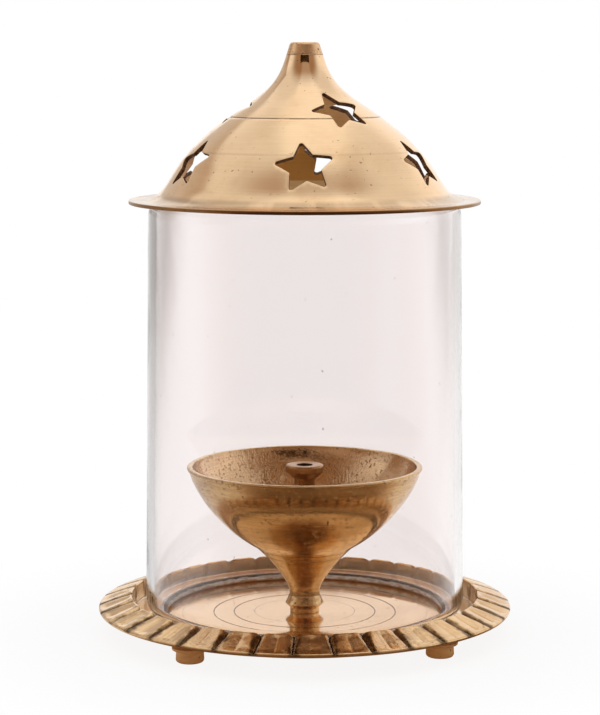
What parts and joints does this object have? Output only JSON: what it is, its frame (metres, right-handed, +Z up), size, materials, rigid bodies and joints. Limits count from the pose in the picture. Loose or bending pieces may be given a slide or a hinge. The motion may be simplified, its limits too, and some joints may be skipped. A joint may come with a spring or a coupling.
{
  "type": "akhand diya oil lamp",
  "caption": "Brass oil lamp: a stemmed bowl with a wick holder on a fluted tray with feet, under a lift-off glass chimney and a star-pierced domed lid.",
  "frame": {"origin": "centre of the lamp's footprint, on the surface that the feet stand on", "axes": "+Z up along the lamp's axis, -Y towards the front as pictured, +X to the right"},
  "size_m": [0.0786, 0.0786, 0.1117],
  "materials": {
    "polished_brass": "polished, with fine turning marks",
    "bowl_brass": "turned and polished, slightly toned",
    "cast_brass": "as cast and brushed",
    "clear_glass": "clear, blown",
    "zinc_steel": "zinc plated"
  },
  "bodies": {
    "base": {"base_plate": "polished_brass", "front_left_foot": "cast_brass", "front_right_foot": "cast_brass", "rear_right_foot": "cast_brass", "rear_left_foot": "cast_brass", "diya_bowl": "bowl_brass", "fixing_screw": "zinc_steel", "screw_washer": "zinc_steel"},
    "wick_holder": {"wick_holder": "bowl_brass"},
    "chimney": {"glass_chimney": "clear_glass"},
    "lid": {"lid": "polished_brass"}
  },
  "joints": [
    {"name": "chimney_lift", "type": "slide", "parent": "base", "child": "chimney", "axis": [0, 0, 1], "range_m": [0, 0.045]},
    {"name": "lid_lift", "type": "slide", "parent": "chimney", "child": "lid", "axis": [0, 0, 1], "range_m": [0, 0.04]},
    {"name": "wick_holder_lift", "type": "slide", "parent": "base", "child": "wick_holder", "axis": [0, 0, 1], "range_m": [0, 0.022]}
  ]
}
